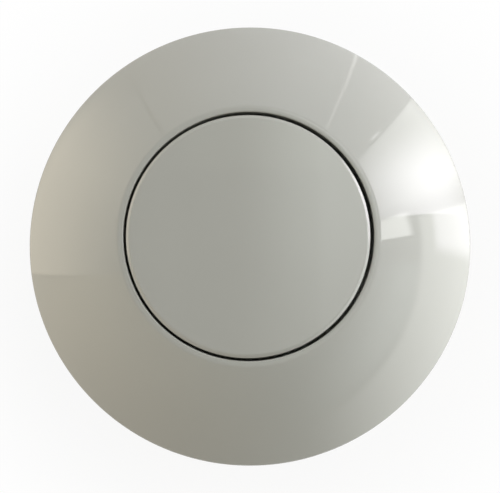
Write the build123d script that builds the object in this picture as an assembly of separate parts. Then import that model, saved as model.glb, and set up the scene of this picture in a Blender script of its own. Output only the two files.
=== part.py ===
from build123d import *
import os
from math import degrees, sqrt

# Push button for a flushing cistern, worked by air.
# Z = 0 is the outer face of the panel that the button is fitted in, and +Z is the way it faces.
# All sizes are in millimetres.

# Panel that the shank passes through
panel_thickness = 12.0

# Domed bezel
bezel_diameter = 72.0
bezel_wall = 2.2
rim_gap = 0.4            # daylight between the rim and the panel
rim_land = 1.2           # upright edge round the rim
rim_round = 0.8
opening_diameter = 40.0
collar_wall = 1.8
lip_land = 0.9           # flat crest round the opening
lip_round = 1.3          # crest into the dome
lip_edge = 0.25          # bevel from the crest into the opening
rib_count = 6
rib_thickness = 1.4
rib_clearance = 1.0      # ribs above the flange of the body
hook_count = 3
hook_angle = 17.0        # degrees of the circle that one hook spans
hook_thickness = 1.6
hook_bite = 0.8
hook_clearance = 0.15
hook_room = 0.6          # hooks clear of the dome, so that they can spring

# Button cap
button_gap = 0.5         # all round, in the opening
button_skirt = 5.0       # upright side, which ends level with the crest of the bezel
button_bevel = 0.45      # at 45 degrees, from the skirt to the crown
button_edge = 0.5        # bevel into the crown
button_crown = 0.8
button_wall = 1.6
button_travel = 5.5
stop_gap = 0.4           # left under the button at the end of its travel
seat_ring_height = 0.5
seat_ring_width = 1.5
bead_count = 3
bead_angle = 26.0
bead_bite = 0.35
bead_height = 0.6
bead_clearance = 0.15

# Plunger, which carries the cap and slides in the body
head_thickness = 1.4
head_clearance = 0.15
stem_diameter = 16.0
stem_wall = 2.0
stem_ribs = 6
stem_rib_thickness = 1.4
guide_clearance = 0.15
barb_height = 2.0
barb_bite = 1.0
barb_gap = 0.2
finger_count = 3
finger_slot = 3.0
finger_slot_reach = 5.0  # how far the slots run up inside the guide

# Body: flange, guide and threaded shank in one moulding
gasket_thickness = 2.0
gasket_width = 3.4
flange_thickness = 2.0
flange_edge = 0.4
guide_length = 9.0
guide_wall = 2.2
shank_diameter = 42.0    # over the thread
shank_length = 30.0
shank_wall = 3.0
shank_clearance = 0.3    # round the shank, in the gasket and the washer
key_count = 2
key_width = 5.0
key_depth = 1.2
pilot_step = 0.8         # plain end of the shank below the crest of the thread
end_seat_step = 0.9      # seat for the bellows and the end cap, outside the chamber

# Bellows
bellows_clearance = 0.6
bellows_depth = 3.2      # crest to root
bellows_folds = 3
bellows_wall = 1.5       # measured square to the axis
bellows_top = 1.6
bellows_flange = 1.8
fold_land = 0.7          # flat at each crest and root
bellows_seat_gap = 0.1

# Return spring and its seat
wire_diameter = 1.3
wire_sides = 8           # the wire is drawn eight-sided
spring_turns = 4.5
spring_clearance = 0.7
seat_disc = 1.4
seat_boss = 1.8
spring_fit = 0.3

# End cap with its hose tail
plug_depth = 4.0
plug_clearance = 0.2
plug_wall = 1.8
end_plate = 1.6
end_rib_count = 6
end_rib_thickness = 1.4
lug_count = 3
lug_start = 90.0         # degrees from +X to the first lug, away from the grooves
lug_angle = 22.0
lug_height = 1.4
lug_rise = 1.1
lug_clearance = 0.2
tail_diameter = 5.0
tail_bore = 2.6
tail_length = 13.0       # below the end plate
tail_root_diameter = 10.0
tail_plain = 6.0
tail_barbs = 2
tail_barb_depth = 0.4

# Clamp washer and backnut
washer_thickness = 1.6
washer_width = 6.8
key_clearance = 0.25
nut_clearance = 0.2
nut_height = 9.0
nut_wall = 3.4
nut_flange = 2.0
nut_flange_width = 3.8
wing_count = 6
wing_thickness = 4.0
wing_reach = 5.0
wing_round = 1.0
nut_lead = 0.8

# Heights up the axis, from the panel upwards
flange_foot = gasket_thickness
flange_top = flange_foot + flange_thickness
skirt_foot = flange_top + stop_gap + button_travel
crest = skirt_foot + button_skirt
cap_edge = crest + button_bevel
rim_top = rim_gap + rim_land
head_top = cap_edge - button_wall - seat_ring_height
head_foot = head_top - head_thickness

# Heights down the axis, from the panel downwards
guide_foot = flange_top - guide_length
barb_top = guide_foot - barb_gap
stem_foot = barb_top - barb_height
bellows_head = stem_foot - bellows_seat_gap
spring_head = bellows_head - bellows_top - seat_disc
shank_foot = -shank_length
plug_top = shank_foot + plug_depth
end_seat = plug_top + bellows_flange
end_foot = shank_foot - end_plate
tail_foot = end_foot - tail_length
washer_top = -panel_thickness
nut_top = washer_top - washer_thickness
nut_foot = nut_top - nut_height

# Radii about the axis
rim_r = bezel_diameter / 2
opening_r = opening_diameter / 2
collar_r = opening_r + collar_wall
land_r = opening_r + lip_land
cap_r = opening_r - button_gap
crown_r = cap_r - button_bevel
cap_inner_r = cap_r - button_wall
head_r = cap_inner_r - head_clearance
stem_r = stem_diameter / 2
guide_r = stem_r + guide_clearance
shank_r = shank_diameter / 2
pilot_r = shank_r - pilot_step
chamber_r = shank_r - shank_wall
end_seat_r = chamber_r + end_seat_step
plug_r = end_seat_r - plug_clearance
fold_crest_r = chamber_r - bellows_clearance
fold_root_r = fold_crest_r - bellows_depth
spring_outer_r = fold_root_r - bellows_wall - spring_clearance
spring_r = spring_outer_r - wire_diameter / 2
spring_inner_r = spring_outer_r - wire_diameter
tail_r = tail_diameter / 2
washer_bore_r = shank_r + shank_clearance
gasket_r = washer_bore_r + gasket_width
nut_bore_r = shank_r + nut_clearance
nut_hub_r = nut_bore_r + nut_wall

# The dome is part of a ball whose centre lies on the axis, so that it meets both the rim and the crest
dome_centre = (land_r**2 - rim_r**2 + crest**2 - rim_top**2) / (2 * (crest - rim_top))
dome_r = sqrt(rim_r**2 + (rim_top - dome_centre) ** 2)
dome_inner_r = dome_r - bezel_wall
flange_inside_r = sqrt(dome_inner_r**2 - (flange_top - dome_centre) ** 2)
flange_r = flange_inside_r - hook_room - hook_thickness - hook_clearance


def turned(section, angle=360.0):
    """Turns a half section, drawn as distance from the axis and height, about the Z axis."""
    return revolve(section, axis=Axis.Z, revolution_arc=angle)


def half_section(*lines):
    """Closes lines that follow each other end to end into a face in the XZ plane."""
    return make_face([Plane.XZ * line for line in lines])


def outline(*points):
    """A half section with straight sides."""
    return half_section(Polyline(*points, close=True))


def rounded(section, corners):
    """Rounds corners of a half section, each given as its place and its radius."""
    for (radius, height), size in corners:
        corner = section.vertices().sort_by_distance((radius, 0, height))[0]
        section = fillet(corner, radius=size)
    return section


def around(solid, count, start=0.0):
    """Copies of a solid at equal steps about the Z axis."""
    return [Rot(Z=start + 360 / count * step) * solid for step in range(count)]


def centred(solid, angle):
    """Turns a solid made by a part turn so that its middle lies on +X."""
    return Rot(Z=-angle / 2) * solid


def radial_plate(section, thickness):
    """Thickens a half section evenly to both sides of the XZ plane."""
    return extrude(section, thickness / 2, both=True)


def on_dome(radius, ball):
    """The point of a ball about the dome's centre at a distance from the axis."""
    return (radius, dome_centre + sqrt(ball**2 - radius**2))


def dome_arc(start, end, ball):
    """Arc over the dome between two distances from the axis."""
    return ThreePointArc(on_dome(start, ball), on_dome((start + end) / 2, ball), on_dome(end, ball))


def dome_reach(height, ball):
    """Distance from the axis at which a ball about the dome's centre passes a height."""
    return sqrt(ball**2 - (height - dome_centre) ** 2)


def bezel_shell():
    """Dome, lip and collar, turned as one wall."""
    foot_r = dome_reach(rim_gap, dome_inner_r)
    section = half_section(
        Line((rim_r, rim_gap), (rim_r, rim_top)),
        dome_arc(rim_r, land_r, dome_r),
        Polyline(
            (land_r, crest),
            (opening_r + lip_edge, crest),
            (opening_r, crest - lip_edge),
            (opening_r, flange_top),
            (collar_r, flange_top),
            on_dome(collar_r, dome_inner_r),
        ),
        dome_arc(collar_r, foot_r, dome_inner_r),
        Line((foot_r, rim_gap), (rim_r, rim_gap)),
    )
    return turned(rounded(section, [((rim_r, rim_top), rim_round), ((land_r, crest), lip_round)]))


def bezel_rib():
    """Upright rib under the dome, from the collar to the outer wall."""
    inside_wall = dome_r - bezel_wall / 2
    inside_collar = collar_r - collar_wall / 2
    foot = flange_top + rib_clearance
    reach = dome_reach(foot, inside_wall)
    section = half_section(
        Polyline(on_dome(inside_collar, inside_wall), (inside_collar, foot), (reach, foot)),
        dome_arc(reach, inside_collar, inside_wall),
    )
    return radial_plate(section, rib_thickness)


def bezel_hook():
    """Springy hook that hangs from the dome and catches under the flange of the body."""
    inside_wall = dome_r - bezel_wall / 2
    inner = flange_r + hook_clearance
    outer = inner + hook_thickness
    catch = flange_foot - hook_clearance
    foot = rim_gap + hook_clearance
    tip = flange_r - hook_bite
    section = half_section(
        Polyline(
            on_dome(inner, inside_wall),
            (inner, catch),
            (tip, catch),
            (tip, (catch + foot) / 2),
            (inner, foot),
            (outer, foot),
            on_dome(outer, inside_wall),
        ),
        dome_arc(outer, inner, inside_wall),
    )
    return centred(turned(section, hook_angle), hook_angle)


def make_bezel():
    """Domed cover with a lip round the button, stiffened and clipped from behind."""
    between_ribs = 180 / rib_count
    return bezel_shell() + around(bezel_rib(), rib_count) + around(bezel_hook(), hook_count, between_ribs)


def make_button_cap():
    """Crowned cap with a bevelled edge, a seat for the plunger and beads that snap behind it."""
    under = cap_edge - button_wall
    ring_r = head_r - seat_ring_width
    crown_under_r = ring_r - seat_ring_width
    section = half_section(
        ThreePointArc((-crown_r, cap_edge), (0, cap_edge + button_crown), (crown_r, cap_edge)).trim(0.5, 1),
        Polyline(
            (crown_r, cap_edge),
            (cap_r, crest),
            (cap_r, skirt_foot),
            (cap_inner_r, skirt_foot),
            (cap_inner_r, under),
            (ring_r + seat_ring_width, under),
            (ring_r + seat_ring_width, head_top),
            (ring_r, head_top),
            (ring_r, under),
            (crown_under_r, under),
            (0, under + button_crown),
            (0, cap_edge + button_crown),
        ),
    )
    section = rounded(section, [((crown_r, cap_edge), button_edge)])
    bead_top = head_foot - bead_clearance
    bead = outline(
        (cap_inner_r + button_wall / 2, bead_top),
        (head_r - bead_bite, bead_top),
        (cap_inner_r, bead_top - bead_height),
        (cap_inner_r + button_wall / 2, bead_top - bead_height),
    )
    return turned(section) + around(centred(turned(bead, bead_angle), bead_angle), bead_count)


def make_plunger():
    """Head that carries the cap, on a hollow stem whose split end snaps through the guide."""
    bore_r = stem_r - stem_wall
    section = outline(
        (bore_r, head_top),
        (head_r, head_top),
        (head_r, head_foot),
        (stem_r, head_foot),
        (stem_r, barb_top),
        (stem_r + barb_bite, barb_top),
        (stem_r, stem_foot),
        (bore_r, stem_foot),
    )
    rib = outline(
        (stem_r - stem_wall / 2, head_foot + head_thickness / 2),
        (head_r - bead_bite - head_thickness, head_foot + head_thickness / 2),
        (head_r - bead_bite - head_thickness, head_foot),
        (stem_r + barb_bite, skirt_foot),
        (stem_r - stem_wall / 2, skirt_foot),
    )
    slot_top = guide_foot + finger_slot_reach
    slot = radial_plate(
        outline((0, stem_foot), (2 * stem_r, stem_foot), (2 * stem_r, slot_top), (0, slot_top)),
        finger_slot,
    )
    ribs = around(radial_plate(rib, stem_rib_thickness), stem_ribs)
    return turned(section) + ribs - around(slot, finger_count)


def shank_key():
    """Length of groove down the shank, which keeps the washer from turning."""
    floor_r = shank_r - key_depth
    section = outline(
        (floor_r, end_seat),
        (shank_r + key_depth, end_seat),
        (shank_r + key_depth, flange_foot),
        (floor_r, flange_foot),
    )
    return radial_plate(section, key_width)


def end_window():
    """Opening in the plain end of the shank that takes one lug of the end cap."""
    foot = shank_foot + (plug_depth - lug_height) / 2
    section = outline(
        (plug_r, foot - lug_clearance),
        (shank_r, foot - lug_clearance),
        (shank_r, foot + lug_height + lug_clearance),
        (plug_r, foot + lug_height + lug_clearance),
    )
    angle = lug_angle + degrees(2 * lug_clearance / plug_r)
    return centred(turned(section, angle), angle)


def make_body():
    """Flange, plunger guide and shank in one moulding. The shank is drawn at the crest of its thread."""
    section = outline(
        (guide_r, flange_top),
        (flange_r - flange_edge, flange_top),
        (flange_r, flange_top - flange_edge),
        (flange_r, flange_foot + flange_edge),
        (flange_r - flange_edge, flange_foot),
        (shank_r, flange_foot),
        (shank_r, end_seat),
        (pilot_r, end_seat - pilot_step),
        (pilot_r, shank_foot),
        (end_seat_r, shank_foot),
        (end_seat_r, end_seat),
        (chamber_r, end_seat),
        (chamber_r, flange_foot),
        (guide_r + guide_wall, flange_foot),
        (guide_r + guide_wall, guide_foot),
        (guide_r, guide_foot),
    )
    windows = around(end_window(), lug_count, lug_start)
    return turned(section) - around(shank_key(), key_count) - windows


def folds(inset):
    """Zigzag wall of the bellows from its head down to its flange, drawn in from the outside by an inset."""
    top = bellows_head - bellows_top
    pitch = (top - end_seat) / bellows_folds
    points = []
    for fold in range(bellows_folds):
        root = top - fold * pitch - fold_land / 2
        crest_top = root + fold_land - pitch / 2
        points += [
            (fold_root_r - inset, root),
            (fold_crest_r - inset, crest_top),
            (fold_crest_r - inset, crest_top - fold_land),
            (fold_root_r - inset, root + fold_land - pitch),
        ]
    return points


def make_bellows():
    """Rubber bellows, closed at its head, with a flange that seals on the end cap."""
    inner_r = fold_root_r - bellows_wall
    section = outline(
        (0, bellows_head),
        (fold_root_r, bellows_head),
        *folds(0),
        (fold_root_r, end_seat),
        (plug_r, end_seat),
        (plug_r, plug_top),
        (inner_r, plug_top),
        *reversed(folds(bellows_wall)),
        (inner_r, bellows_head - bellows_top),
        (0, bellows_head - bellows_top),
    )
    return turned(section)


def make_spring_seat():
    """Disc inside the head of the bellows, with a boss that centres the spring."""
    top = bellows_head - bellows_top
    boss_r = spring_inner_r - spring_fit
    section = outline(
        (0, top),
        (spring_outer_r, top),
        (spring_outer_r, spring_head),
        (boss_r, spring_head),
        (boss_r - spring_fit, spring_head - seat_boss),
        (0, spring_head - seat_boss),
    )
    return turned(section)


def make_return_spring():
    """Coil spring with plain ends ground flat, between its seat and the end cap."""
    height = spring_head - plug_top
    pitch = height / spring_turns
    path = Pos(Z=plug_top) * Helix(pitch, height, spring_r)
    wire = Plane(origin=path @ 0, z_dir=path % 0) * RegularPolygon(wire_diameter / 2, wire_sides)
    coil = sweep(wire, path=path, is_frenet=True)
    ground = Pos(Z=plug_top) * extrude(Circle(spring_outer_r + wire_diameter), height)
    return coil & ground


def end_lug():
    """Wedge on the side of the plug that snaps into a window of the shank."""
    foot = shank_foot + (plug_depth - lug_height) / 2
    root_r = plug_r - plug_wall / 2
    section = outline(
        (root_r, foot),
        (plug_r + lug_rise, foot),
        (plug_r, foot + lug_height),
        (root_r, foot + lug_height),
    )
    return centred(turned(section, lug_angle), lug_angle)


def make_end_cap():
    """Plug that closes the shank and clamps the bellows, with a barbed hose tail."""
    boss_r = spring_inner_r - spring_fit
    bore_r = tail_bore / 2
    root_r = tail_root_diameter / 2
    under = plug_top - plug_wall
    barb_pitch = (tail_length - tail_plain) / (tail_barbs + 1)
    barbs = []
    for barb in range(tail_barbs, 0, -1):
        shoulder = tail_foot + barb * barb_pitch
        barbs += [(tail_r - tail_barb_depth, shoulder), (tail_r, shoulder)]
    section = outline(
        (bore_r, plug_top + seat_boss),
        (boss_r - spring_fit, plug_top + seat_boss),
        (boss_r, plug_top),
        (plug_r, plug_top),
        (plug_r, shank_foot),
        (pilot_r, shank_foot),
        (pilot_r, end_foot),
        (plug_r - plug_wall, end_foot),
        (plug_r - plug_wall, under),
        (root_r, under),
        (root_r, end_foot + end_plate),
        (tail_r, end_foot),
        (tail_r, end_foot - tail_plain),
        *barbs,
        (tail_r - tail_barb_depth, tail_foot),
        (bore_r, tail_foot),
    )
    rib = outline(
        (root_r - tail_r / 2, under + plug_wall / 2),
        (plug_r - plug_wall / 2, under + plug_wall / 2),
        (plug_r - plug_wall / 2, end_foot + end_plate),
        (root_r - tail_r / 2, end_foot + end_plate),
    )
    ribs = around(radial_plate(rib, end_rib_thickness), end_rib_count)
    return turned(section) + ribs + around(end_lug(), lug_count, lug_start)


def make_panel_gasket():
    """Soft ring that seals the flange to the panel."""
    section = outline(
        (washer_bore_r, 0),
        (gasket_r, 0),
        (gasket_r, gasket_thickness),
        (washer_bore_r, gasket_thickness),
    )
    return turned(section)


def make_clamp_washer():
    """Slip washer under the panel, with two tabs that run in the grooves of the shank."""
    outer_r = washer_bore_r + washer_width
    section = outline(
        (washer_bore_r, nut_top),
        (outer_r, nut_top),
        (outer_r, washer_top),
        (washer_bore_r, washer_top),
    )
    tab = outline(
        (shank_r - key_depth + key_clearance, nut_top),
        (washer_bore_r + washer_width / 2, nut_top),
        (washer_bore_r + washer_width / 2, washer_top),
        (shank_r - key_depth + key_clearance, washer_top),
    )
    return turned(section) + around(radial_plate(tab, key_width - 2 * key_clearance), key_count)


def make_backnut():
    """Ring nut with a bearing flange and finger wings. Its bore clears the crest of the thread."""
    flange_outer_r = nut_hub_r + nut_flange_width
    section = outline(
        (nut_bore_r + nut_lead, nut_top),
        (flange_outer_r, nut_top),
        (flange_outer_r, nut_top - nut_flange),
        (nut_hub_r, nut_top - nut_flange),
        (nut_hub_r, nut_foot),
        (nut_bore_r + nut_lead, nut_foot),
        (nut_bore_r, nut_foot + nut_lead),
        (nut_bore_r, nut_top - nut_lead),
    )
    wing = outline(
        (nut_bore_r + nut_wall / 2, nut_top - nut_flange / 2),
        (nut_hub_r + wing_reach, nut_top - nut_flange / 2),
        (nut_hub_r + wing_reach, nut_foot),
        (nut_bore_r + nut_wall / 2, nut_foot),
    )
    wing = radial_plate(wing, wing_thickness)
    wing = fillet(wing.edges().filter_by(Axis.Z).group_by(Axis.X)[-1], wing_round)
    return turned(section) + around(wing, wing_count)


pieces = {
    "bezel": make_bezel,
    "button_cap": make_button_cap,
    "plunger": make_plunger,
    "body": make_body,
    "bellows": make_bellows,
    "spring_seat": make_spring_seat,
    "return_spring": make_return_spring,
    "end_cap": make_end_cap,
    "panel_gasket": make_panel_gasket,
    "clamp_washer": make_clamp_washer,
    "backnut": make_backnut,
}

os.makedirs("parts", exist_ok=True)
for name, make in pieces.items():
    export_step(make(), f"parts/{name}.step")
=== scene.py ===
# %% [markdown]
# # A push button for a cistern, dressed in Blender
#
# The button is a round domed bezel with an almost flush cap, on a threaded shank that passes
# through a panel. Behind the panel sit a washer, a winged backnut and an end cap with a hose tail.
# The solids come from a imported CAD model, and this lesson gives them their finish. The frame is
# loaded first, because every piece below is placed from its boxes and rides on its bodies.

# %% Load the frame
from math import ceil, cos, degrees, pi, radians, sin, sqrt, tan

import bmesh
import bpy
from mathutils import Matrix, Vector


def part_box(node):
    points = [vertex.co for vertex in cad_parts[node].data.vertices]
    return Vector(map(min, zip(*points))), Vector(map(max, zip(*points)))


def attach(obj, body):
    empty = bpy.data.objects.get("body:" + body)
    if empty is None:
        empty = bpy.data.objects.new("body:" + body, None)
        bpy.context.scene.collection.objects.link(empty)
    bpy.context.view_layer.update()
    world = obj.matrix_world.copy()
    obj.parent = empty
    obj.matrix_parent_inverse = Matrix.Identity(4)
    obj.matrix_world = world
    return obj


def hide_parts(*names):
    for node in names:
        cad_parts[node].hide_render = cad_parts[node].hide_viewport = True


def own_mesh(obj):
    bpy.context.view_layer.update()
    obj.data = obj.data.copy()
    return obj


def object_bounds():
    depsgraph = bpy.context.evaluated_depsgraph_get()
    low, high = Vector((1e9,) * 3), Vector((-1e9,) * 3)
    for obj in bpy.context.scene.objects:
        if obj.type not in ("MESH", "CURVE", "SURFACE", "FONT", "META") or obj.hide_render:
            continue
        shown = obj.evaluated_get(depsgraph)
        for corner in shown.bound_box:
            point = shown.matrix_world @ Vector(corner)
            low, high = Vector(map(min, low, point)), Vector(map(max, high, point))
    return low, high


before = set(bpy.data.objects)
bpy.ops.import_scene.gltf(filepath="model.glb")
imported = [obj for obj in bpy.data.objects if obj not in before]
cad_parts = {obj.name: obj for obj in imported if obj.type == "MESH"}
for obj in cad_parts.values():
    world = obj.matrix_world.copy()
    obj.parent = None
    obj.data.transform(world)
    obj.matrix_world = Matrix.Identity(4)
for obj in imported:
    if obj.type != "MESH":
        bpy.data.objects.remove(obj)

cad_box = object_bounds()
print("CAD nodes:", ", ".join(sorted(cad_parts)))

# %% [markdown]
# ## Measuring the frame
#
# Blender works in metres, and a maker of such a button thinks in millimetres. Sections below are
# drawn in millimetres and turned into metres when they become a mesh. Most pieces are round about
# the Z axis, so a node's box says nearly all: how far it reaches from the axis, and its lowest and
# highest height.

# %% Units and spans
MM = 0.001


def span(node):
    """Reach from the axis, lowest height and highest height of a CAD node, in millimetres."""
    low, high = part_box(node)
    return high.x / MM, low.z / MM, high.z / MM


rim_r, rim_foot, crest = span("bezel")
cap_r, skirt_foot, cap_top = span("button_cap")
flange_r, shank_foot, flange_top = span("body")
print(f"bezel {2 * rim_r:.1f} mm across, button {2 * cap_r:.1f} mm across")

# %% [markdown]
# ## Turned sections
#
# A moulded round piece is easiest to draw as half of its section, which is then turned about the
# axis like clay on a wheel. No moulded edge is truly sharp, and the small rounds catch the light,
# so a corner of a section can carry a radius of its own. `rounded` swaps such a corner for an arc,
# with a point close to each end of it, so that smooth shading bends only there and flat faces stay
# flat. `turned` spins the section. A full turn closes on itself, and a part turn gets two flat
# ends, which suits hooks and lugs. A thread is a turned section too, whose radius also depends on
# the angle, so `turned` takes a function for that.

# %% Draw and turn a section
TURN_STEPS = 192
PART_STEPS = 13          # odd, so that no row of a part turn falls on a row of a full one
WELD = 0.0005            # points closer than this are one
ARC_STEP = 9.0           # degrees of a round between two points
ARC_HOLD = 0.03          # from a round to the point beside it that keeps the flat face flat
CRISP, FINE, SMALL, LIGHT = 0.1, 0.15, 0.2, 0.25      # rounds of moulded edges
SOFT, WIDE, FILLET = 0.3, 0.4, 0.5                    # larger ones


def rounded(corners):
    """Points of a closed half section from corners given as (radius, height) or with a rounding."""
    points = []
    for place, corner in enumerate(corners):
        here = Vector(corner[:2])
        if len(corner) < 3:
            points.append(here)
            continue
        back = Vector(corners[place - 1][:2]) - here
        ahead = Vector(corners[(place + 1) % len(corners)][:2]) - here
        half = back.angle(ahead) / 2
        back, ahead = back.normalized(), ahead.normalized()
        start, end = (here + side * corner[2] / tan(half) for side in (back, ahead))
        centre = here + (back + ahead).normalized() * corner[2] / sin(half)
        turn = (start - centre).angle_signed(end - centre)
        steps = max(2, ceil(abs(degrees(turn)) / ARC_STEP))
        points.append(start + back * ARC_HOLD)
        points += [centre + Matrix.Rotation(-turn * step / steps, 2) @ (start - centre)
                   for step in range(steps + 1)]
        points.append(end + ahead * ARC_HOLD)
    return [(point.x, point.y) for point in points]


def turned(name, section, angle=360.0, steps=TURN_STEPS, depth=None):
    """Mesh of a closed half section turned about Z. depth cuts into it by height and angle."""
    whole = angle == 360.0
    rows = steps if whole else steps + 1
    count = len(section)
    points, faces = [], []
    for row in range(rows):
        at = radians(angle * row / steps - (0 if whole else angle / 2))
        for radius, height in section:
            reach = radius - (depth(radius, height, at) if depth else 0)
            points.append((reach * cos(at) * MM, reach * sin(at) * MM, height * MM))
    for row in range(steps):
        here, ahead = row * count, (row + 1) % rows * count
        for k in range(count):
            after = (k + 1) % count
            faces.append((here + k, ahead + k, ahead + after, here + after))
    if not whole:
        faces += [tuple(range(count)), tuple(range((rows - 1) * count, rows * count))]
    return mesh_of(name, points, faces)


def mesh_of(name, points, faces):
    """Closed mesh from points and faces."""
    mesh = bpy.data.meshes.new(name)
    mesh.from_pydata(points, [], faces)
    return welded(mesh)


def welded(mesh):
    """Merges points that coincide, drops loose edges and makes all faces look outwards."""
    shape = bmesh.new()
    shape.from_mesh(mesh)
    bmesh.ops.remove_doubles(shape, verts=shape.verts, dist=WELD * MM)
    loose = [edge for edge in shape.edges if not edge.link_faces]
    bmesh.ops.delete(shape, geom=loose, context="EDGES")
    bmesh.ops.recalc_face_normals(shape, faces=shape.faces)
    shape.to_mesh(mesh)
    shape.free()
    return mesh


# %% [markdown]
# ## Ribs, copies and cuts
#
# Ribs and wings are flat plates that stand along the axis, so they are drawn in the same half
# section and thickened sideways. Copies at equal steps make a ring of them. Boolean modifiers then
# join them to the turned piece or cut them out of it, as a mould or a cutter would, and leave one
# closed skin with nothing buried inside. The exact solver is used, because plates meet turned walls
# at shallow angles. Both sides go in as triangles, which are always flat, so that a cut across a
# thread leaves no folded slivers.

# %% Plates, rings and booleans
SHARP = radians(38)      # faces that meet at more than this keep a hard edge
EDGE_STEPS = 4


def plate(name, section, thickness, edge=0.0):
    """Mesh of a half section thickened evenly to both sides of the XZ plane, with rounded edges."""
    count = len(section)
    points = [(r * MM, side * thickness / 2 * MM, z * MM) for side in (-1, 1) for r, z in section]
    faces = [tuple(range(count)), tuple(range(count, 2 * count))]
    faces += [(k, (k + 1) % count, count + (k + 1) % count, count + k) for k in range(count)]
    mesh = mesh_of(name, points, faces)
    if edge:
        shape = bmesh.new()
        shape.from_mesh(mesh)
        bmesh.ops.bevel(shape, geom=shape.edges[:], offset=edge * MM, segments=EDGE_STEPS,
                        profile=0.5, affect="EDGES")
        shape.to_mesh(mesh)
        shape.free()
    return mesh


def ring_of(mesh, count, start=0.0):
    """One mesh with copies at equal steps about Z, from a start angle in degrees."""
    shape = bmesh.new()
    for step in range(count):
        turn = Matrix.Rotation(radians(start + 360 / count * step), 4, "Z")
        copy = mesh.copy()
        copy.transform(turn)
        shape.from_mesh(copy)
        bpy.data.meshes.remove(copy)
    ring = bpy.data.meshes.new(mesh.name + "_ring")
    shape.to_mesh(ring)
    shape.free()
    return ring


def shown(mesh):
    """An object that shows a mesh in the scene."""
    piece = bpy.data.objects.new(mesh.name, mesh)
    bpy.context.scene.collection.objects.link(piece)
    return piece


def settled(piece):
    """Puts the result of a piece's modifiers into its mesh and drops them."""
    graph = bpy.context.evaluated_depsgraph_get()
    made = bpy.data.meshes.new_from_object(piece.evaluated_get(graph))
    piece.modifiers.clear()
    piece.data = made
    return piece


def combined(piece, mesh, operation):
    """Joins a mesh to a piece (UNION) or cuts it out (DIFFERENCE)."""
    tool = shown(mesh)
    for side in (piece, tool):
        side.modifiers.new("flat", "TRIANGULATE")
    step = piece.modifiers.new("combine", "BOOLEAN")
    step.operation = operation
    step.solver = "EXACT"
    step.object = tool
    welded(settled(piece).data)
    bpy.data.objects.remove(tool)


def placed(piece, material, slot, body, *nodes):
    """Gives a piece its shading, finish and place on a body, in the stead of CAD nodes."""
    piece.data.shade_smooth()
    piece.data.set_sharp_from_angle(angle=SHARP)
    piece.data.materials.clear()
    piece.data.materials.append(material)
    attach(piece, body)
    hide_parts(*nodes)
    print(f"{piece.name}: {len(piece.data.polygons)} faces, rides on {body}")
    return piece


# %% [markdown]
# ## Colours and nodes
#
# Colours are written as sRGB hex values, as a paint chart gives them, and Blender's shaders want
# linear light, so one function turns them. One more small function adds a shader node with its
# settings and its links, which keeps each material below short enough to read. Patterns are sized
# in millimetres: a noise whose grains are `size` apart has a scale of one over that length.

# %% Colour and node helpers
MIX_FIRST, MIX_SECOND, MIX_OUT = 6, 7, 2             # the colour sockets of a Mix node
NOISE_ENDS = {"From Min": 0.3, "From Max": 0.7}      # most of a noise lies between these


def linear(hex_colour):
    """Linear RGBA from an sRGB hex colour such as #C0BFB8."""
    shares = [int(hex_colour[k:k + 2], 16) / 255 for k in (1, 3, 5)]
    return [s / 12.92 if s <= 0.04045 else ((s + 0.055) / 1.055) ** 2.4 for s in shares] + [1.0]


def add(tree, kind, inputs=(), **settings):
    """Adds a node, sets its properties, and fills its sockets with values or links."""
    node = tree.nodes.new(kind)
    for key, value in settings.items():
        setattr(node, key, value)
    for socket, value in dict(inputs).items():
        if isinstance(value, bpy.types.NodeSocket):
            tree.links.new(value, node.inputs[socket])
        else:
            node.inputs[socket].default_value = value
    return node


def scale_of(size):
    """Scale of a pattern in metres whose grains lie a size in millimetres apart."""
    return 1 / (size * MM)


def new_material(name):
    """An empty material, its nodes, and the object's own coordinates to hang patterns on."""
    material = bpy.data.materials.new(name)
    material.use_nodes = True
    tree = material.node_tree
    tree.nodes.clear()
    return material, tree, add(tree, "ShaderNodeTexCoord").outputs["Object"]


# %% [markdown]
# ## Gloss ABS, moulded in a polished tool
#
# The bezel and the cap are ABS, moulded against polished steel. To the eye that is an opaque warm
# light grey under a clear mirror gloss. The polish is never perfect: a faint ripple bends the edges
# of reflections, and handling leaves a breath of haze. The colour drifts by a percent or two as the
# melt cooled. IOR 1.53 is typical of ABS.

# %% Material: gloss ABS
def make_gloss_abs():
    material, tree, where = new_material("gloss ABS, polished mould")
    drift = add(tree, "ShaderNodeTexNoise", {"Vector": where, "Scale": scale_of(14), "Detail": 3.0})
    tint = add(tree, "ShaderNodeMix", {
        "Factor": drift.outputs["Fac"], MIX_FIRST: linear("#BABAB4"), MIX_SECOND: linear("#BEBEB8"),
    }, data_type="RGBA")
    haze = add(tree, "ShaderNodeTexNoise", {"Vector": where, "Scale": scale_of(5), "Detail": 6.0})
    polish = add(tree, "ShaderNodeMapRange", {
        "Value": haze.outputs["Fac"], **NOISE_ENDS, "To Min": 0.03, "To Max": 0.06,
    })
    ripple = add(tree, "ShaderNodeTexNoise", {"Vector": where, "Scale": scale_of(3.2), "Detail": 1.0})
    peel = add(tree, "ShaderNodeBump", {
        "Height": ripple.outputs["Fac"], "Strength": 0.25, "Distance": 0.01 * MM,
    })
    surface = add(tree, "ShaderNodeBsdfPrincipled", {
        "Base Color": tint.outputs[MIX_OUT], "Roughness": polish.outputs["Result"], "IOR": 1.53,
        "Normal": peel.outputs["Normal"],
    })
    add(tree, "ShaderNodeOutputMaterial", {"Surface": surface.outputs["BSDF"]})
    return material


gloss_abs = make_gloss_abs()
print("made", gloss_abs.name)

# %% [markdown]
# ## White polypropylene, satin from a plain tool
#
# The body, the backnut and the end cap are working pieces that nobody polishes. Polypropylene comes
# out milky white and a little waxy, because light enters it and scatters. A spark-eroded mould
# gives it a fine even grain of about a fifth of a millimetre, and flow lines cloud the white
# slightly.

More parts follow.
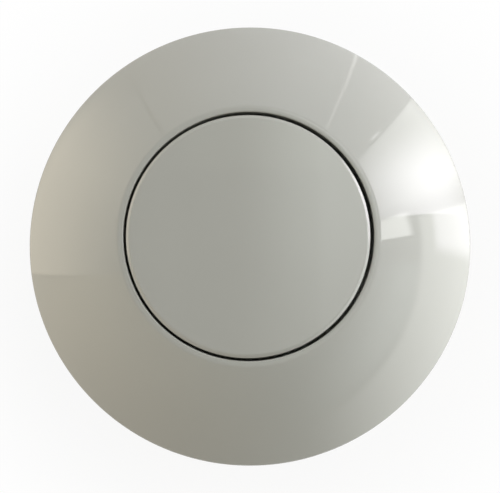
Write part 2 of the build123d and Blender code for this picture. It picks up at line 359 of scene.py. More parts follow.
# %% Material: white polypropylene
def make_white_polypropylene():
    material, tree, where = new_material("white polypropylene, spark-eroded mould")
    flow = add(tree, "ShaderNodeTexNoise", {"Vector": where, "Scale": scale_of(9), "Detail": 4.0,
                                            "Distortion": 1.2})
    tint = add(tree, "ShaderNodeMix", {
        "Factor": flow.outputs["Fac"], MIX_FIRST: linear("#D3D3CD"), MIX_SECOND: linear("#DFDFDA"),
    }, data_type="RGBA")
    grain = add(tree, "ShaderNodeTexNoise", {"Vector": where, "Scale": scale_of(0.22), "Detail": 2.0})
    satin = add(tree, "ShaderNodeMapRange", {
        "Value": grain.outputs["Fac"], **NOISE_ENDS, "To Min": 0.36, "To Max": 0.5,
    })
    eroded = add(tree, "ShaderNodeBump", {
        "Height": grain.outputs["Fac"], "Strength": 0.5, "Distance": 0.02 * MM,
    })
    surface = add(tree, "ShaderNodeBsdfPrincipled", {
        "Base Color": tint.outputs[MIX_OUT], "Roughness": satin.outputs["Result"], "IOR": 1.49,
        "Subsurface Weight": 0.15, "Subsurface Radius": (1.0, 0.95, 0.85),
        "Subsurface Scale": 0.8 * MM, "Normal": eroded.outputs["Normal"],
    })
    add(tree, "ShaderNodeOutputMaterial", {"Surface": surface.outputs["BSDF"]})
    return material


white_polypropylene = make_white_polypropylene()
print("made", white_polypropylene.name)

# %% [markdown]
# ## Natural acetal
#
# The plunger and the spring seat slide, so they are acetal without pigment: a cool milky white that
# is smoother and a little glossier than polypropylene, with faint swirls of flow.

# %% Material: natural acetal
def make_natural_acetal():
    material, tree, where = new_material("natural acetal, moulded")
    swirl = add(tree, "ShaderNodeTexNoise", {"Vector": where, "Scale": scale_of(6), "Detail": 3.0,
                                             "Distortion": 2.0})
    tint = add(tree, "ShaderNodeMix", {
        "Factor": swirl.outputs["Fac"], MIX_FIRST: linear("#DFE0DB"), MIX_SECOND: linear("#ECECE6"),
    }, data_type="RGBA")
    smooth = add(tree, "ShaderNodeMapRange", {
        "Value": swirl.outputs["Fac"], **NOISE_ENDS, "To Min": 0.26, "To Max": 0.34,
    })
    surface = add(tree, "ShaderNodeBsdfPrincipled", {
        "Base Color": tint.outputs[MIX_OUT], "Roughness": smooth.outputs["Result"], "IOR": 1.48,
        "Subsurface Weight": 0.2, "Subsurface Radius": (1.0, 1.0, 0.95), "Subsurface Scale": 1.0 * MM,
    })
    add(tree, "ShaderNodeOutputMaterial", {"Surface": surface.outputs["BSDF"]})
    return material


natural_acetal = make_natural_acetal()
print("made", natural_acetal.name)

# %% [markdown]
# ## Grey polyethylene
#
# The slip washer is soft grey polyethylene, so that the nut can turn against it. It is matt and
# waxy, with faint rubbing marks that run round with the nut: rings about two millimetres apart,
# drawn from the distance to the axis.

# %% Material: grey polyethylene
WAVE_SCALE = 20          # radians that a wave pattern goes through in a unit of its scale
RADIAN_LENGTH = 0.33     # its rings lie 2 pi times this apart, about two millimetres


def make_grey_polyethylene():
    material, tree, where = new_material("grey polyethylene, rubbed")
    rubbing = add(tree, "ShaderNodeTexWave", {
        "Vector": where, "Scale": scale_of(RADIAN_LENGTH) / WAVE_SCALE, "Distortion": 1.5,
        "Detail": 2.0, "Detail Scale": 1.0,
    }, wave_type="RINGS", rings_direction="Z")
    tint = add(tree, "ShaderNodeMix", {
        "Factor": rubbing.outputs["Fac"], MIX_FIRST: linear("#94979A"), MIX_SECOND: linear("#9C9FA1"),
    }, data_type="RGBA")
    waxy = add(tree, "ShaderNodeMapRange", {
        "Value": rubbing.outputs["Fac"], "To Min": 0.4, "To Max": 0.52,
    })
    surface = add(tree, "ShaderNodeBsdfPrincipled", {
        "Base Color": tint.outputs[MIX_OUT], "Roughness": waxy.outputs["Result"], "IOR": 1.51,
    })
    add(tree, "ShaderNodeOutputMaterial", {"Surface": surface.outputs["BSDF"]})
    return material


grey_polyethylene = make_grey_polyethylene()
print("made", grey_polyethylene.name)

# %% [markdown]
# ## Black EPDM rubber
#
# Gasket and bellows are EPDM. Rubber from a mould is matt black with a faint grey bloom that
# gathers in patches, and a pebbled skin with grains of about 0.15 mm, which breaks up any
# highlight.

# %% Material: black EPDM
def make_black_epdm():
    material, tree, where = new_material("black EPDM rubber, matt")
    bloom = add(tree, "ShaderNodeTexNoise", {"Vector": where, "Scale": scale_of(7), "Detail": 5.0})
    tint = add(tree, "ShaderNodeMix", {
        "Factor": bloom.outputs["Fac"], MIX_FIRST: linear("#1C1C1D"), MIX_SECOND: linear("#2A2A2A"),
    }, data_type="RGBA")
    pebble = add(tree, "ShaderNodeTexVoronoi", {"Vector": where, "Scale": scale_of(0.15)})
    skin = add(tree, "ShaderNodeBump", {
        "Height": pebble.outputs["Distance"], "Strength": 0.4, "Distance": 0.03 * MM,
    })
    dull = add(tree, "ShaderNodeMapRange", {
        "Value": bloom.outputs["Fac"], **NOISE_ENDS, "To Min": 0.62, "To Max": 0.78,
    })
    surface = add(tree, "ShaderNodeBsdfPrincipled", {
        "Base Color": tint.outputs[MIX_OUT], "Roughness": dull.outputs["Result"], "IOR": 1.5,
        "Normal": skin.outputs["Normal"],
    })
    add(tree, "ShaderNodeOutputMaterial", {"Surface": surface.outputs["BSDF"]})
    return material


black_epdm = make_black_epdm()
print("made", black_epdm.name)

# %% [markdown]
# ## Stainless spring wire
#
# Drawing the wire through dies leaves fine lines along it. The coil lies nearly flat, so noise that
# is stretched round the coil and tight in height gives lines along the wire. A metal keeps
# Blender's default IOR, and its look comes from colour and roughness.

# %% Material: stainless spring wire
def make_spring_wire():
    material, tree, where = new_material("stainless spring wire, drawn")
    along = add(tree, "ShaderNodeMapping", {"Vector": where, "Scale": (0.08, 0.08, 1.0)})
    lines = add(tree, "ShaderNodeTexNoise", {
        "Vector": along.outputs["Vector"], "Scale": scale_of(0.1), "Detail": 2.0,
    })
    tint = add(tree, "ShaderNodeMix", {
        "Factor": lines.outputs["Fac"], MIX_FIRST: linear("#B4B4B2"), MIX_SECOND: linear("#CBCBC8"),
    }, data_type="RGBA")
    drawn = add(tree, "ShaderNodeMapRange", {
        "Value": lines.outputs["Fac"], **NOISE_ENDS, "To Min": 0.2, "To Max": 0.36,
    })
    surface = add(tree, "ShaderNodeBsdfPrincipled", {
        "Base Color": tint.outputs[MIX_OUT], "Metallic": 1.0, "Roughness": drawn.outputs["Result"],
    })
    add(tree, "ShaderNodeOutputMaterial", {"Surface": surface.outputs["BSDF"]})
    return material


spring_wire = make_spring_wire()
print("made", spring_wire.name)

# %% [markdown]
# ## The bezel
#
# The bezel is what the eye sees: part of a ball from the rim up to a narrow flat crest, where a
# collar drops round the button. Triangles from CAD would show in its mirror gloss, so the same
# section is turned here with many fine steps. The ball's centre lies on the axis, where it meets
# both the rim and the crest. Behind the dome stand six ribs, and three hooks that snap under the
# flange of the body.

# %% Bezel
button_gap = 0.5
bezel_wall = 2.2
rim_land, rim_round = 1.2, 0.8
collar_wall = 1.8
lip_land, lip_round = 0.9, 1.3
rib_count, rib_thickness, rib_clearance = 6, 1.4, 1.0
hook_count, hook_angle, hook_thickness, hook_bite, hook_clearance = 3, 17.0, 1.6, 0.8, 0.15
gasket_r, gasket_foot, flange_foot = span("panel_gasket")
opening_r = cap_r + button_gap
collar_r = opening_r + collar_wall
land_r = opening_r + lip_land
rim_top = rim_foot + rim_land
dome_centre = (land_r**2 - rim_r**2 + crest**2 - rim_top**2) / (2 * (crest - rim_top))
dome_r = sqrt(rim_r**2 + (rim_top - dome_centre) ** 2)
DOME_STEPS, RIB_STEPS, HOOK_STEPS = 36, 8, 4


def dome(start, end, inset, steps=DOME_STEPS):
    """Points over the dome between two distances from the axis, at a depth below its skin."""
    ball = dome_r - inset
    reaches = [start + (end - start) * step / steps for step in range(steps + 1)]
    return [(reach, dome_centre + sqrt(ball**2 - reach**2)) for reach in reaches]


def dome_reach(height, inset):
    """Distance from the axis at which the dome, at a depth below its skin, passes a height."""
    return sqrt((dome_r - inset) ** 2 - (height - dome_centre) ** 2)


def bezel_section():
    outside = dome(rim_r - rim_round / 4, land_r, 0)
    inside = dome(collar_r, dome_reach(rim_foot, bezel_wall), bezel_wall)
    return rounded([
        (rim_r, rim_foot, SMALL), (rim_r, rim_top, rim_round), *outside[:-1],
        (land_r, crest, lip_round), (opening_r, crest, LIGHT), (opening_r, flange_top, SMALL),
        (collar_r, flange_top, SMALL), *inside,
    ])


def rib_section():
    buried = bezel_wall / 2
    foot = flange_top + rib_clearance
    start, end = collar_r - collar_wall / 2, dome_reach(foot, buried)
    return [(start, foot), *dome(end, start, buried, RIB_STEPS)]


def hook_section():
    inner, tip = flange_r + hook_clearance, flange_r - hook_bite
    catch, foot = flange_foot - hook_clearance, rim_foot + hook_clearance
    return rounded([
        (inner, catch), (tip, catch, FINE), (tip, (catch + foot) / 2, FINE), (inner, foot, SMALL),
        (inner + hook_thickness, foot, SOFT),
        *dome(inner + hook_thickness, inner, bezel_wall / 2, HOOK_STEPS),
    ])


bezel = shown(turned("bezel_moulding", bezel_section()))
combined(bezel, ring_of(plate("rib", rib_section(), rib_thickness), rib_count), "UNION")
hook = turned("hook", hook_section(), hook_angle, PART_STEPS)
combined(bezel, ring_of(hook, hook_count, 180 / rib_count), "UNION")
placed(bezel, gloss_abs, "gloss_abs", "housing", "bezel")

# %% [markdown]
# ## The button cap
#
# The cap is a shallow crowned disc with a short skirt. The skirt ends level with the crest of the
# bezel, and a narrow bevel leads from there to the crown. That bevel mirrors the window as a thin
# bright line beside the dark gap. Underneath, a ring seats the cap on the plunger and three beads
# snap behind the plunger's head. The crown is part of a very large ball, and its height is what is
# left between the bevel and the top of the cap's box. In the photograph the gap is wider on the
# right: the cap has a little play in its opening and rests a tenth of a millimetre to the left, as
# it does here.

# %% Button cap
button_wall = 1.6
button_bevel, button_edge = 0.45, 0.5
seat_ring_height, seat_ring_width = 0.5, 1.5
head_clearance = 0.15
head_thickness = 1.4
button_play = Vector((-0.09, -0.04, 0)) * MM
bead_count, bead_angle, bead_bite, bead_height, bead_clearance = 3, 26.0, 0.35, 0.6, 0.15
cap_edge = crest + button_bevel
crown_reach = cap_r - button_bevel
crown = cap_top - cap_edge
crown_ball = (crown_reach**2 + crown**2) / (2 * crown)
head_r = cap_r - button_wall - head_clearance
head_top = cap_edge - button_wall - seat_ring_height


def cap_section():
    reaches = [(crown_reach - button_edge) * step / DOME_STEPS for step in range(DOME_STEPS + 1)]
    top = [(reach, cap_top - crown_ball + sqrt(crown_ball**2 - reach**2)) for reach in reaches]
    under = cap_edge - button_wall
    inner = cap_r - button_wall
    ring_r = head_r - seat_ring_width
    return rounded([
        *top, (crown_reach, cap_edge, button_edge), (cap_r, crest, CRISP),
        (cap_r, skirt_foot, SMALL), (inner, skirt_foot, SMALL), (inner, under), (head_r, under),
        (head_r, head_top, CRISP), (ring_r, head_top, CRISP), (ring_r, under),
        (ring_r - seat_ring_width, under), (0, under + crown),
    ])


def bead_section():
    buried = cap_r - button_wall / 2
    top = head_top - head_thickness - bead_clearance
    return [(buried, top), (head_r - bead_bite, top), (cap_r - button_wall, top - bead_height),
            (buried, top - bead_height)]


button = shown(turned("button_moulding", cap_section()))
beads = ring_of(turned("bead", bead_section(), bead_angle, PART_STEPS), bead_count)
combined(button, beads, "UNION")
button.data.transform(Matrix.Translation(button_play))
placed(button, gloss_abs, "gloss_abs", "button", "button_cap")

# %% [markdown]
# ## The thread
#
# The shank has a coarse moulded thread of 3 mm pitch. A thread is a groove that climbs by one pitch
# a turn, so at any angle and height its depth depends on one number, the phase. Right-handed means
# that the groove rises as the angle grows. The nut uses the same phase with a little less of it cut
# away, so its ridges lie in the grooves and stay there as it winds along.

# %% Thread
thread_pitch = 3.0
thread_depth = 0.9
thread_crest = 0.9       # width of the flat crest
thread_flank = 0.6       # length of a flank along the axis
thread_play = 0.18       # along the axis, between the nut and the shank
thread_fade = 1.6        # length over which the groove runs out
THREAD_STEP = 0.15
SAME = 0.001             # radii closer than this are the same


def groove(height, at, play=0.0):
    """Share of the thread's depth at a height and an angle: 0 on the crest, 1 in the root."""
    phase = (height / thread_pitch - at / (2 * pi)) % 1.0
    from_crest = min(phase, 1 - phase) * thread_pitch - thread_crest / 2 - play
    share = min(1.0, max(0.0, from_crest / thread_flank))
    return share * share * (3 - 2 * share)


def run_out(height, low, high):
    """Share of the depth left near the ends of a thread, from 0 at an end to 1 inside."""
    share = min(1.0, max(0.0, min(height - low, high - height) / thread_fade))
    return share * share * (3 - 2 * share)


def thread_rows(high, low):
    """Heights from the top to the foot of a thread, close enough for its flanks."""
    count = ceil((high - low) / THREAD_STEP)
    return [high + (low - high) * row / count for row in range(count + 1)]


# %% [markdown]
# ## The body
#
# Flange, plunger guide and shank are one moulding. Its section is turned with the thread in it, and
# the cutters follow: two grooves down the shank that keep the washer from turning, and three
# windows in its plain end that take the lugs of the end cap.

# %% Body
shank_r = 21.0
shank_wall = 3.0
guide_r, guide_wall, guide_length = 8.15, 2.2, 9.0
pilot_step = 0.8
end_seat_step = 0.9
key_count, key_width, key_depth = 2, 5.0, 1.2
lug_count, lug_start, lug_angle, lug_height, lug_clearance = 3, 90.0, 22.0, 1.4, 0.2
plug_r, plug_top, bellows_head = span("bellows")
bellows_flange = 1.8
chamber_r = shank_r - shank_wall
pilot_r = shank_r - pilot_step
end_seat = plug_top + bellows_flange
lug_foot = shank_foot + (plug_top - shank_foot - lug_height) / 2


def body_section():
    guide_outer = guide_r + guide_wall
    guide_foot = flange_top - guide_length
    return rounded([
        (guide_r, flange_top, SOFT), (flange_r, flange_top, WIDE), (flange_r, flange_foot, WIDE),
        (shank_r, flange_foot), *[(shank_r, z) for z in thread_rows(0, end_seat)],
        (pilot_r, end_seat - pilot_step), (pilot_r, shank_foot, SOFT),
        (chamber_r + end_seat_step, shank_foot, SOFT), (chamber_r + end_seat_step, end_seat),
        (chamber_r, end_seat, SMALL), (chamber_r, flange_foot), (guide_outer, flange_foot),
        (guide_outer, guide_foot, SOFT), (guide_r, guide_foot, SOFT),
    ])


def shank_cut(radius, height, at):
    """Depth of the thread on the outside of the shank, and nothing elsewhere."""
    if abs(radius - shank_r) > SAME or not end_seat <= height <= 0:
        return 0.0
    return thread_depth * groove(height, at) * run_out(height, end_seat, 0)


def key_cutter():
    bed, out = shank_r - key_depth, shank_r + key_depth
    section = [(bed, end_seat), (out, end_seat), (out, flange_foot), (bed, flange_foot)]
    return ring_of(plate("key", section, key_width), key_count)


def window_cutter():
    low, high = lug_foot - lug_clearance, lug_foot + lug_height + lug_clearance
    section = [(plug_r, low), (shank_r, low), (shank_r, high), (plug_r, high)]
    angle = lug_angle + degrees(2 * lug_clearance / plug_r)
    return ring_of(turned("window", section, angle, PART_STEPS), lug_count, lug_start)


body = shown(turned("body_moulding", body_section(), depth=shank_cut))
combined(body, key_cutter(), "DIFFERENCE")
combined(body, window_cutter(), "DIFFERENCE")
placed(body, white_polypropylene, "white_polypropylene", "housing", "body")

# %% [markdown]
# ## The backnut
#
# A ring with a bearing flange, six wings for the fingers, and the thread inside. The wings are
# plates with all edges rounded, as fingers want them. The thread runs out at both ends, where the
# bore opens into a lead-in.

# %% Backnut
nut_clearance, nut_wall, nut_lead = 0.2, 3.4, 0.8
nut_flange, nut_flange_width = 2.0, 3.8
wing_count, wing_thickness, wing_round = 6, 4.0, 0.9
wing_r, nut_foot, nut_top = span("backnut")
nut_bore_r = shank_r + nut_clearance
nut_hub_r = nut_bore_r + nut_wall


def nut_section():
    outer = nut_hub_r + nut_flange_width
    low, high = nut_foot + nut_lead, nut_top - nut_lead
    bore = [(nut_bore_r, z) for z in reversed(thread_rows(high, low))]
    return rounded([
        (nut_bore_r + nut_lead, nut_top, SMALL), (outer, nut_top, WIDE),
        (outer, nut_top - nut_flange, WIDE), (nut_hub_r, nut_top - nut_flange, FILLET),
        (nut_hub_r, nut_foot, WIDE), (nut_bore_r + nut_lead, nut_foot, SMALL), *bore,
    ])


def nut_ridge(radius, height, at):
    """How far the nut's thread stands into its bore."""
    low, high = nut_foot + nut_lead, nut_top - nut_lead
    if abs(radius - nut_bore_r) > SAME or not low <= height <= high:
        return 0.0
    return thread_depth * groove(height, at, thread_play) * run_out(height, low, high)


def wing_section():
    inner, top = nut_bore_r + nut_wall / 2, nut_top - nut_flange / 2
    return [(inner, top), (wing_r, top), (wing_r, nut_foot), (inner, nut_foot)]


nut = shown(turned("backnut_moulding", nut_section(), depth=nut_ridge))
wing = plate("wing", wing_section(), wing_thickness, wing_round)
combined(nut, ring_of(wing, wing_count), "UNION")
placed(nut, white_polypropylene, "white_polypropylene", "nut", "backnut")

# %% [markdown]
# ## Gasket and slip washer
#
# Two flat rings. Both are stamped or moulded with slightly rounded edges, which is all that sets
# them apart from a bare CAD ring at this size. Two tabs on the washer run in the grooves of the
# shank.

# %% Gasket and washer
shank_clearance = 0.3
key_clearance = 0.25
washer_r, washer_foot, washer_top = span("clamp_washer")
ring_bore_r = shank_r + shank_clearance


def flat_ring(outer, low, high, edge):
    """Half section of a flat ring round the shank with rounded edges."""
    return rounded([(ring_bore_r, low, edge), (outer, low, edge), (outer, high, edge),
                    (ring_bore_r, high, edge)])


gasket = shown(turned("gasket_ring", flat_ring(gasket_r, gasket_foot, flange_foot, SOFT)))
placed(gasket, black_epdm, "black_epdm", "housing", "panel_gasket")

washer = shown(turned("slip_washer", flat_ring(washer_r, washer_foot, washer_top, LIGHT)))
tab_in, tab_out = shank_r - key_depth + key_clearance, (ring_bore_r + washer_r) / 2
tab = [(tab_in, washer_foot), (tab_out, washer_foot), (tab_out, washer_top), (tab_in, washer_top)]
tabs = ring_of(plate("tab", tab, key_width - 2 * key_clearance), key_count)
combined(washer, tabs, "UNION")
placed(washer, grey_polyethylene, "grey_polyethylene", "washer", "clamp_washer")

# %% [markdown]
# ## The end cap
#
# A plug that closes the shank, clamps the bellows and carries the hose tail. It is hollow from
# below, with ribs between its wall and the root of the tail, as thick plastic would sink when it
# cools. The tail has a plain stretch and two barbs that grip the hose.

# %% End cap
plug_wall, end_plate = 1.8, 1.6
end_rib_count, end_rib_thickness = 6, 1.4
lug_rise = 1.1
tail_r, tail_bore, tail_length, tail_plain, tail_root_r = 2.5, 2.6, 13.0, 6.0, 5.0
tail_barbs, tail_barb_depth = 2, 0.4
end_r, tail_foot, boss_top = span("end_cap")
spring_r, spring_foot, spring_head = span("return_spring")
wire, spring_fit = 1.3, 0.3
boss_r = spring_r - wire - spring_fit
end_foot = shank_foot - end_plate
plug_under = plug_top - plug_wall


def end_cap_section():
    bore = tail_bore / 2
    pitch = (tail_length - tail_plain) / (tail_barbs + 1)
    thin = tail_r - tail_barb_depth
    barbs = []
    for barb in range(tail_barbs, 0, -1):
        shoulder = tail_foot + barb * pitch
        barbs += [(thin, shoulder, CRISP), (tail_r, shoulder, CRISP)]
    return rounded([
        (bore, boss_top, SMALL), (boss_r - spring_fit, boss_top, SOFT), (boss_r, plug_top),
        (plug_r, plug_top, SMALL), (plug_r, shank_foot), (end_r, shank_foot, SMALL),
        (end_r, end_foot, WIDE), (plug_r - plug_wall, end_foot, SOFT),
        (plug_r - plug_wall, plug_under, WIDE), (tail_root_r, plug_under, WIDE),
        (tail_root_r, shank_foot, FILLET), (tail_r, end_foot, FILLET),
        (tail_r, end_foot - tail_plain, CRISP), *barbs, (thin, tail_foot, FINE),
        (bore, tail_foot, FINE),
    ])


def end_rib_section():
    inner, outer = tail_root_r - tail_r / 2, plug_r - plug_wall / 2
    high = plug_under + plug_wall / 2
    return [(inner, high), (outer, high), (outer, shank_foot), (inner, shank_foot)]


def lug_section():
    buried = plug_r - plug_wall / 2
    return [(buried, lug_foot), (plug_r + lug_rise, lug_foot), (plug_r, lug_foot + lug_height),
            (buried, lug_foot + lug_height)]


end_cap = shown(turned("end_cap_moulding", end_cap_section()))
end_ribs = plate("end_rib", end_rib_section(), end_rib_thickness)
combined(end_cap, ring_of(end_ribs, end_rib_count), "UNION")
lugs = turned("lug", lug_section(), lug_angle, PART_STEPS)
combined(end_cap, ring_of(lugs, lug_count, lug_start), "UNION")
placed(end_cap, white_polypropylene, "white_polypropylene", "housing", "end_cap")

# %% [markdown]
# ## The bellows
#
# A rubber bellows has no flat flanks: its folds swell and pinch in one smooth wave. The wall is
# drawn as that wave, a cosine between crest and root, with the same wave again inside it. When the
# button is pressed the whole piece shortens towards the end cap.

# %% Bellows
bellows_clearance, bellows_depth, bellows_wall, bellows_top = 0.6, 3.2, 1.5, 1.6
bellows_round = 0.8
bellows_folds, FOLD_STEPS = 3, 20
fold_crest_r = chamber_r - bellows_clearance
fold_root_r = fold_crest_r - bellows_depth


def fold_wave(inset):
    """Points down the wall of the bellows, moved in from its outside by an inset."""
    top = bellows_head - bellows_top
    points = []
    for step in range(bellows_folds * FOLD_STEPS + 1):
        share = step / FOLD_STEPS
        swell = (1 - cos(2 * pi * share)) / 2
        height = top + (end_seat - top) * share / bellows_folds
        points.append((fold_root_r + bellows_depth * swell - inset, height))
    return points


def bellows_section():
    inner = fold_root_r - bellows_wall
    return rounded([
        (0, bellows_head), (fold_root_r, bellows_head, bellows_round), *fold_wave(0),
        (plug_r, end_seat, SOFT), (plug_r, plug_top, SMALL), (inner, plug_top, SOFT),
        *reversed(fold_wave(bellows_wall)), (0, bellows_head - bellows_top),
    ])


bellows = placed(shown(turned("bellows_rubber", bellows_section())), black_epdm, "black_epdm",
                 "housing", "bellows")
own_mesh(bellows)

# %% [markdown]
# ## The return spring
#
# A coil spring is a round wire on a helix. Its ends are ground flat so that it stands square, which
# is done here by holding every point between the two end planes. In use it shortens with the button,
# as the bellows does.

# %% Return spring
spring_turns = 4.5
COIL_STEPS, WIRE_STEPS = 60, 12


def coil_mesh():
    mean = spring_r - wire / 2
    climb = spring_head - spring_foot
    count = round(spring_turns * COIL_STEPS)
    points, faces = [], []
    for step in range(count + 1):
        at = 2 * pi * step / COIL_STEPS
        centre = spring_foot + climb * step / count
        for side in range(WIRE_STEPS):
            turn = 2 * pi * side / WIRE_STEPS
            reach = mean + wire / 2 * cos(turn)
            height = min(spring_head, max(spring_foot, centre + wire / 2 * sin(turn)))
            points.append((reach * cos(at) * MM, reach * sin(at) * MM, height * MM))
    for step in range(count):
        for side in range(WIRE_STEPS):
            here, after = step * WIRE_STEPS, (side + 1) % WIRE_STEPS
            ahead = here + WIRE_STEPS
            faces.append((here + side, here + after, ahead + after, ahead + side))
    last = count * WIRE_STEPS
    faces += [tuple(range(WIRE_STEPS)), tuple(range(last, last + WIRE_STEPS))]
    return mesh_of("return_spring_wire", points, faces)


spring = placed(shown(coil_mesh()), spring_wire, "spring_steel", "housing", "return_spring")
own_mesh(spring)

# %% [markdown]
# ## Pieces kept from CAD
#
# The plunger and the spring seat sit inside, and their CAD meshes are right as they are. They only
# need their material.

# %% Plunger and spring seat
for node in ("plunger", "spring_seat"):
    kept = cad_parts[node]
    kept.data.materials.clear()
    kept.data.materials.append(natural_acetal)
    print("kept from CAD:", node)

# %% [markdown]
# ## The camera
#
# The photograph looks almost straight down on the bezel through a long lens. Its opening sits a
# little above the middle of its rim, which a tilt of about 6 degrees towards the lower edge gives.
# The lens follows from the scale: so many pixels to a millimetre at that distance, on a sensor that
# is as wide as the picture. The camera's axes are set one by one, because "up" in the picture is +Y
# here, and Blender's tracking would turn +Z up.

# %% Camera
PICTURE_WIDE = 500
view_tilt, view_lean = radians(6.2), radians(0.8)
view_distance = 570.0    # millimetres
pixels_per_mm = 6.125
aim = Vector((0.03, -0.26, rim_top))
back = Vector((tan(view_lean), -tan(view_tilt), 1)).normalized()
right = Vector((0, 1, 0)).cross(back).normalized()
lens = bpy.data.cameras.new("photo_camera")
lens.sensor_width = 36.0
lens.lens = lens.sensor_width * pixels_per_mm * view_distance / PICTURE_WIDE
camera = bpy.data.objects.new("photo_camera", lens)
bpy.context.scene.collection.objects.link(camera)
camera.location = (aim + view_distance * back) * MM
camera.rotation_euler = Matrix((right, back.cross(right), back)).transposed().to_euler()
bpy.context.scene.camera = camera
print(f"lens {lens.lens:.0f} mm at {view_distance:.0f} mm")

# %% [markdown]
# ## Floor and world
#
# The part stands on a small pale floor in front of nothing. A white background would need far more
# light than the part can take, so camera rays see mostly a plain white of strength 1, and a share
# of the floor's true shading keeps the shadow. That share fades out towards the edge, where the
# floor passes into the white of the world unseen. Rays that mirror off the part see the same white.
# The floor's back is clear, so that the part can be looked at from below.

# %% Floor and world
FLOOR_R = 0.115                                       # metres
FLOOR_SIDES = 96
WHITE_SHARE = 0.9                                     # of plain white in the floor under the part
FADE_FROM, FADE_TO = 0.25 * FLOOR_R, 0.6 * FLOOR_R    # where the floor passes into all white
floor_z = cad_box[0].z


def sees_background(tree):
    """1 for rays that show the background: from the camera, or mirrored or passed on from it."""
    path = add(tree, "ShaderNodeLightPath")
    bent = add(tree, "ShaderNodeMath", {
        0: path.outputs["Is Glossy Ray"], 1: path.outputs["Is Transmission Ray"],
    }, operation="MAXIMUM")
    return add(tree, "ShaderNodeMath", {
        0: path.outputs["Is Camera Ray"], 1: bent.outputs[0],
    }, operation="MAXIMUM").outputs[0]


def make_floor():
    material, tree, where = new_material("pale floor, matt paint")
    mottle = add(tree, "ShaderNodeTexNoise", {"Vector": where, "Scale": scale_of(60), "Detail": 3.0})
    tint = add(tree, "ShaderNodeMix", {
        "Factor": mottle.outputs["Fac"], MIX_FIRST: linear("#E4E4E1"), MIX_SECOND: linear("#E8E8E5"),
    }, data_type="RGBA")
    paint = add(tree, "ShaderNodeBsdfDiffuse", {"Color": tint.outputs[MIX_OUT]})
    white = add(tree, "ShaderNodeEmission", {"Color": linear("#FFFFFF"), "Strength": 1.0})
    reach = add(tree, "ShaderNodeVectorMath", {0: where}, operation="LENGTH")
    share = add(tree, "ShaderNodeMapRange", {
        "Value": reach.outputs["Value"], "From Min": FADE_FROM, "From Max": FADE_TO,
        "To Min": WHITE_SHARE, "To Max": 1.0,
    }, interpolation_type="SMOOTHSTEP")
    shown_white = add(tree, "ShaderNodeMath", {
        0: sees_background(tree), 1: share.outputs["Result"],
    }, operation="MULTIPLY")
    seen = add(tree, "ShaderNodeMixShader", {
        0: shown_white.outputs[0], 1: paint.outputs["BSDF"], 2: white.outputs["Emission"],
    })
    back = add(tree, "ShaderNodeNewGeometry")
    clear = add(tree, "ShaderNodeBsdfTransparent")
    sided = add(tree, "ShaderNodeMixShader", {
        0: back.outputs["Backfacing"], 1: seen.outputs["Shader"], 2: clear.outputs["BSDF"],
    })
    add(tree, "ShaderNodeOutputMaterial", {"Surface": sided.outputs["Shader"]})
    return material


turns = [2 * pi * side / FLOOR_SIDES for side in range(FLOOR_SIDES)]
sheet = bpy.data.meshes.new("floor")
edge = [(FLOOR_R * cos(at), FLOOR_R * sin(at), 0) for at in turns]
sheet.from_pydata(edge, [], [range(FLOOR_SIDES)])
floor = shown(sheet)
floor.location.z = floor_z
floor.data.materials.append(make_floor())

room_light = 0.105
world = bpy.data.worlds.new("studio")
world.use_nodes = True
bpy.context.scene.world = world
world.node_tree.nodes.clear()
sky = world.node_tree
dim = add(sky, "ShaderNodeBackground", {"Color": linear("#FFFFF8"), "Strength": room_light})
plain = add(sky, "ShaderNodeBackground", {"Color": linear("#FFFFFF"), "Strength": 1.0})
both = add(sky, "ShaderNodeMixShader", {
    0: sees_background(sky), 1: dim.outputs["Background"], 2: plain.outputs["Background"],
})
add(sky, "ShaderNodeOutputWorld", {"Surface": both.outputs["Shader"]})
print(f"floor at {floor_z / MM:.1f} mm")

# %% [markdown]
# ## Lights
#
# Gloss plastic shows its lights as shapes, so each light is a soft rectangle with a place, a spread
# and a brightness of its own. Walls stand round the part and take a range of azimuths from +X and
# of elevations. In the photograph the upright edges of the room don't run towards the middle of the
# button but to a point below it, where the dome's ball faces the camera. So the room is upright to
# the camera and not to the part, and the walls are turned as the camera is. They reach down past
# the small floor, because the outer part of the dome mirrors what lies below the horizon. Ceilings
# hang level over the part and take a range of tilts from the zenith.
#
# Brightness is how bright a lamp's face looks, where 1 is white, and its power follows from that
# and its size. Sides may fade, as those of a lit wall do: a fade is the share of the width or
# height over which the light comes up, and 0 leaves a side sharp, as on a window. A tall window on
# the right makes the highlight on the dome, and all others are weaker. Each lamp hangs a little
# further out than the one before it: lamps that overlap in one plane would hide each other from
# mirrored rays.

# %% Lights
light_centre = Vector((0, 0, 5.0)) * MM
NEAREST, APART = 0.9, 0.015      # metres
room = Matrix.Translation(light_centre) @ camera.rotation_euler.to_matrix().to_4x4()


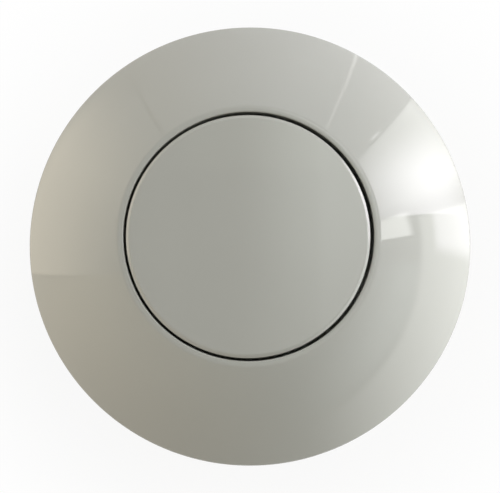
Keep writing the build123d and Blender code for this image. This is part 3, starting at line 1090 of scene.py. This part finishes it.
def soft_light(name, wide, high, brightness, colour, sides):
    """Rectangular lamp of a size in metres that fades at both ends of its X and of its Y."""
    lamp = bpy.data.lights.new(name, "AREA")
    lamp.shape = "RECTANGLE"
    lamp.size, lamp.size_y = wide, high
    lamp.energy = brightness * pi * wide * high
    lamp.color = linear(colour)[:3]
    lamp.use_nodes = True
    tree = lamp.node_tree
    tree.nodes.clear()
    face = add(tree, "ShaderNodeNewGeometry").outputs["Parametric"]
    place = add(tree, "ShaderNodeSeparateXYZ", {0: face}).outputs
    level = 1.0
    for axis, first, last in (("X", *sides[:2]), ("Y", *sides[2:])):
        for dark, full in ((0.0, first), (1.0, 1.0 - last)):
            if dark != full:
                ramp = add(tree, "ShaderNodeMapRange", {
                    "Value": place[axis], "From Min": dark, "From Max": full,
                }, interpolation_type="SMOOTHSTEP").outputs["Result"]
                both = add(tree, "ShaderNodeMath", {0: level, 1: ramp}, operation="MULTIPLY")
                level = both.outputs[0]
    glow = add(tree, "ShaderNodeEmission", {"Strength": level})
    add(tree, "ShaderNodeOutputLight", {"Surface": glow.outputs["Emission"]})
    light = bpy.data.objects.new(name, lamp)
    bpy.context.scene.collection.objects.link(light)
    return light


def offsets(far, angles):
    """How far out two angles in degrees land at a distance, in metres."""
    return [far * tan(radians(angle)) for angle in angles]


def wall_light(far, name, azimuth, elevation, lean, *look):
    """Upright lamp over ranges of azimuth and elevation, its top leaning to growing azimuth."""
    turn = radians(sum(azimuth) / 2)
    low, high = offsets(far, elevation)
    wide = 2 * far * tan(radians(azimuth[1] - azimuth[0]) / 2)
    out = Vector((cos(turn), sin(turn), 0))
    facing = (-out).to_track_quat("-Z", "Y").to_matrix().to_4x4()
    spot = far * out + Vector((0, 0, (low + high) / 2))
    light = soft_light(name, wide, high - low, *look)
    upright = room @ Matrix.Translation(spot) @ facing
    light.matrix_world = upright @ Matrix.Rotation(-radians(lean), 4, "Z")


def ceiling_light(far, name, to_x, to_y, *look):
    """Lamp that faces down and covers ranges of tilt from the zenith to +X and to +Y."""
    (west, east), (south, north) = offsets(far, to_x), offsets(far, to_y)
    light = soft_light(name, east - west, north - south, *look)
    light.location = light_centre + Vector(((west + east) / 2, (south + north) / 2, far))


WALLS = [
    # name, azimuths, elevations, lean, brightness, colour, fades at both azimuths, foot and top
    ("window_upper", (9.2, 18.4), (12.8, 46), 0, 5.2, "#FEFFFC", (0, 0.2, 0.12, 0.5)),
    ("window_main", (15.6, 45.4), (-36, 46), 7, 5.3, "#F9F6FF", (0, 0.6, 0.4, 0.6)),
    ("window_edge", (16, 44.5), (-36, 40), -2, 2.1, "#FEFFFC", (0.3, 0.03, 0.2, 0.5)),
    ("window_low", (-1.5, 12.3), (-36, 4.8), 7, 3.0, "#F8F4FF", (0.4, 0, 0.6, 0.12)),
    ("window_catch", (44.8, 45.9), (3, 12), 0, 3.0, "#FFFFFF", (0.3, 0.3, 0.3, 0.3)),
    ("window_streak", (60.7, 61.9), (-36, 42), -2.4, 1.4, "#FEFFF8", (0.3, 0.3, 0, 0.2)),
    ("wall_top", (62.5, 124), (-36, 46), 1.8, 0.46, "#FFFFFF", (0.3, 0, 0.5, 0.4)),
    ("wall_left", (125.5, 185.2), (-36, 50), 3, 0.46, "#FFFFFF", (0, 0.02, 0.4, 0.4)),
    ("wall_left_glow", (125.5, 185.2), (-36, 40), 3, 1.35, "#FFF0D4", (0.5, 0.02, 0.2, 0.6)),
    ("wall_bottom", (185.2, 290), (-36, 60), 0, 0.57, "#FFF0D2", (0, 0.6, 0.5, 0.4)),
    ("wall_bottom_glow", (184.4, 230), (-36, 40), 3, 0.5, "#FFF0D4", (0.03, 0.9, 0.2, 0.6)),
    ("wall_right", (-75, 15.6), (-36, 15.5), 0, 2.0, "#FDFFFA", (0.7, 0.02, 0, 0.1)),
    ("wall_right_upper", (-75, 0.5), (13, 42), 0, 0.75, "#F1FFFD", (0.7, 0.05, 0.1, 0.7)),
]
CEILINGS = [
    # name, tilts to +X, tilts to +Y, brightness, colour, fades at -X, +X, -Y and +Y
    ("ceiling_right", (6.6, 45), (-40, 50), 0.4, "#FFFFFF", (0, 0.4, 0.4, 0.4)),
    ("ceiling_right_glow", (-3, 34), (-21, 40), 2.4, "#F8FFF9", (0.26, 0.4, 0.6, 0.35)),
    ("ceiling_back", (-7.4, 7.2), (13.2, 50), 0.2, "#F9FFE7", (0, 0, 0, 0.5)),
    ("ceiling_left", (-50, -7.4), (-45, 40), 0.08, "#FFFFFF", (0.4, 0.02, 0.4, 0.4)),
]
far = NEAREST
for row in WALLS:
    far += APART
    wall_light(far, *row)
for row in CEILINGS:
    far += APART
    ceiling_light(far, *row)
print("lights:", len(bpy.data.lights))

# %% [markdown]
# ## The end
#
# The Standard view is chosen, under which white stays white.

# %% The view transform
bpy.context.scene.view_settings.view_transform = "Standard"
